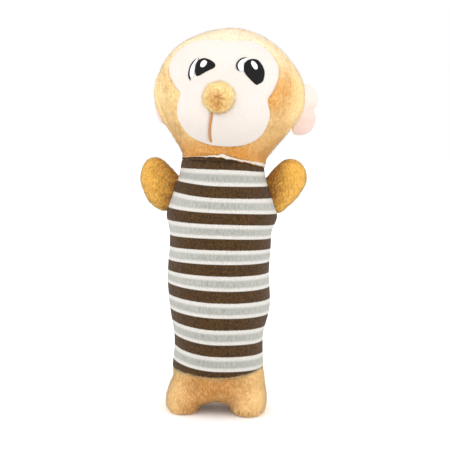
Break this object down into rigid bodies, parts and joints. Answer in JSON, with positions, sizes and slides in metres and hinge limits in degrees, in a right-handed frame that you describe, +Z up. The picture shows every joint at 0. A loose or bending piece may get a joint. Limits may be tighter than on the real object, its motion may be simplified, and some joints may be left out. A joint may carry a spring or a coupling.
{
  "type": "plush squeak toy",
  "caption": "Plush monkey figure for a dog: striped body tube on two stubby feet, round head, mitt arms, folded ears, squeaker inside.",
  "frame": {"origin": "on the floor under the middle of the toy's box", "axes": "+Z up from the soles to the crown, -Y the way the face looks, +X the viewer's right"},
  "size_m": [0.1092, 0.0914, 0.2309],
  "materials": {
    "striped_jersey": "matte",
    "tan_plush": "matte",
    "nose_plush": "matte",
    "white_velour": "matte",
    "pink_velour": "matte",
    "fibre_filling": "matte",
    "black_embroidery": "satin",
    "white_embroidery": "satin",
    "brown_thread": "satin",
    "squeaker_plastic": "satin"
  },
  "bodies": {
    "body": {"body_cover": "striped_jersey", "body_filling_lower": "fibre_filling", "body_filling_upper": "fibre_filling", "leg_front_panel": "tan_plush", "leg_back_panel": "tan_plush", "leg_filling": "fibre_filling", "squeaker_base": "squeaker_plastic", "squeaker_bellows": "squeaker_plastic", "squeaker_reed": "squeaker_plastic"},
    "neck": {"neck_filling": "fibre_filling"},
    "head": {"head_front_panel": "tan_plush", "head_back_panel": "tan_plush", "face_panel": "white_velour", "head_filling": "fibre_filling", "nose": "nose_plush", "mouth_stitch": "brown_thread", "eye_left": "black_embroidery", "eye_left_glint": "white_embroidery", "eye_left_lid_line": "black_embroidery", "eye_right": "black_embroidery", "eye_right_glint": "white_embroidery", "eye_right_lid_line": "black_embroidery"},
    "ear_left": {"ear_left_front": "pink_velour", "ear_left_back": "pink_velour"},
    "ear_right": {"ear_right_front": "pink_velour", "ear_right_back": "pink_velour"},
    "arm_left": {"arm_left_front_panel": "tan_plush", "arm_left_back_panel": "tan_plush", "arm_left_filling": "fibre_filling"},
    "arm_right": {"arm_right_front_panel": "tan_plush", "arm_right_back_panel": "tan_plush", "arm_right_filling": "fibre_filling"},
    "squeaker_cap": {"squeaker_cap": "squeaker_plastic"}
  },
  "joints": [
    {"name": "neck_turn", "type": "hinge", "parent": "body", "child": "neck", "pos_m": [-0.00221, 0.00885, 0.1335], "axis": [0, 0, 1], "range_deg": [-20, 30], "stiffness_Nm_per_rad": 0.15},
    {"name": "head_nod", "type": "hinge", "parent": "neck", "child": "head", "pos_m": [-0.00221, 0.00885, 0.1335], "axis": [1, 0, 0], "range_deg": [-12, 12], "stiffness_Nm_per_rad": 0.6},
    {"name": "arm_left_swing", "type": "hinge", "parent": "body", "child": "arm_left", "pos_m": [-0.03317, 0.00885, 0.13477], "axis": [0.3144, 0, 0.9493], "range_deg": [-45, 45], "stiffness_Nm_per_rad": 0.004},
    {"name": "arm_right_swing", "type": "hinge", "parent": "body", "child": "arm_right", "pos_m": [0.02875, 0.00885, 0.13477], "axis": [0.3144, 0, -0.9493], "range_deg": [-45, 45], "stiffness_Nm_per_rad": 0.004},
    {"name": "ear_left_fold", "type": "hinge", "parent": "head", "child": "ear_left", "pos_m": [-0.04323, 0.01709, 0.18722], "axis": [0.0523, 0, 0.9986], "range_deg": [-4, 60], "stiffness_Nm_per_rad": 0.002},
    {"name": "ear_right_fold", "type": "hinge", "parent": "head", "child": "ear_right", "pos_m": [0.04497, 0.00858, 0.1826], "axis": [-0.0523, 0, -0.9986], "range_deg": [-4, 60], "stiffness_Nm_per_rad": 0.002},
    {"name": "squeaker_press", "type": "slide", "parent": "body", "child": "squeaker_cap", "axis": [0, 0, -1], "range_m": [0, 0.007], "stiffness_N_per_m": 900, "deforming": ["squeaker_bellows"]}
  ]
}
